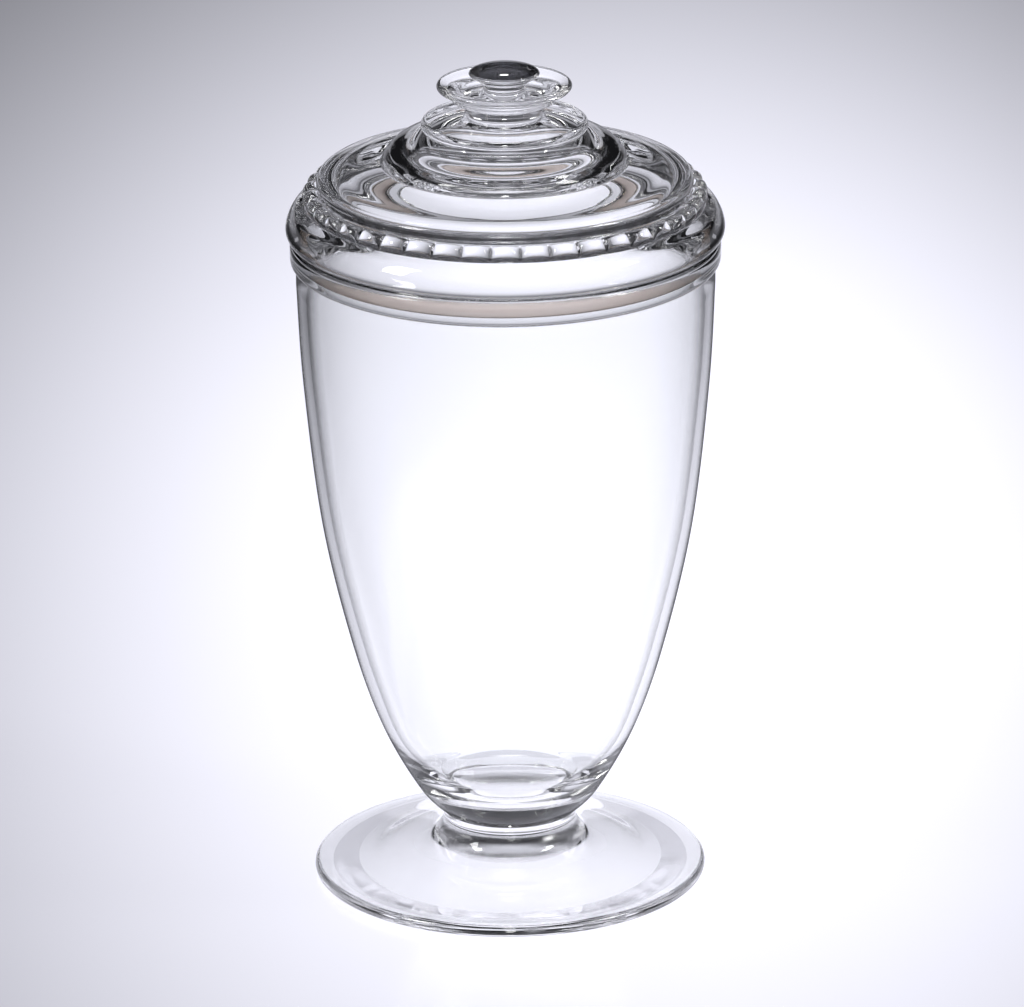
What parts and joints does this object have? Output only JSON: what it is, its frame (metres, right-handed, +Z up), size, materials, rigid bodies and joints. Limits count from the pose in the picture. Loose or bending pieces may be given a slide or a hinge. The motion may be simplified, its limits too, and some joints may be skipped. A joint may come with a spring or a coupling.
{
  "type": "specimen jar",
  "caption": "Tall clear glass specimen jar with a tapering bowl on a short stem and disc foot, and a stepped beaded dome lid with a button knob and a seal ring.",
  "frame": {"origin": "centre of the underside of the foot, at the height of the surface it stands on", "axes": "+Z up along the axis of the jar, +X and +Y any two directions across it, as the jar is round"},
  "size_m": [0.1566, 0.1566, 0.305],
  "materials": {
    "clear_glass": "polished clear",
    "seal": "translucent beige, satin"
  },
  "bodies": {
    "jar": {"foot": "clear_glass", "stem": "clear_glass", "bowl": "clear_glass", "lip_band": "clear_glass"},
    "seal": {"seal_ring": "seal"},
    "lid": {"plug_ring": "clear_glass", "lid_shell": "clear_glass", "bead_ring": "clear_glass", "knob_neck": "clear_glass", "knob_flange": "clear_glass", "knob_button": "clear_glass"}
  },
  "joints": [
    {"name": "lid_lift", "type": "slide", "parent": "jar", "child": "seal", "axis": [0, 0, 1], "range_m": [0, 0.08]},
    {"name": "lid_turn", "type": "hinge", "parent": "seal", "child": "lid", "pos_m": [0, 0, 0.25], "axis": [0, 0, 1], "continuous": true}
  ]
}
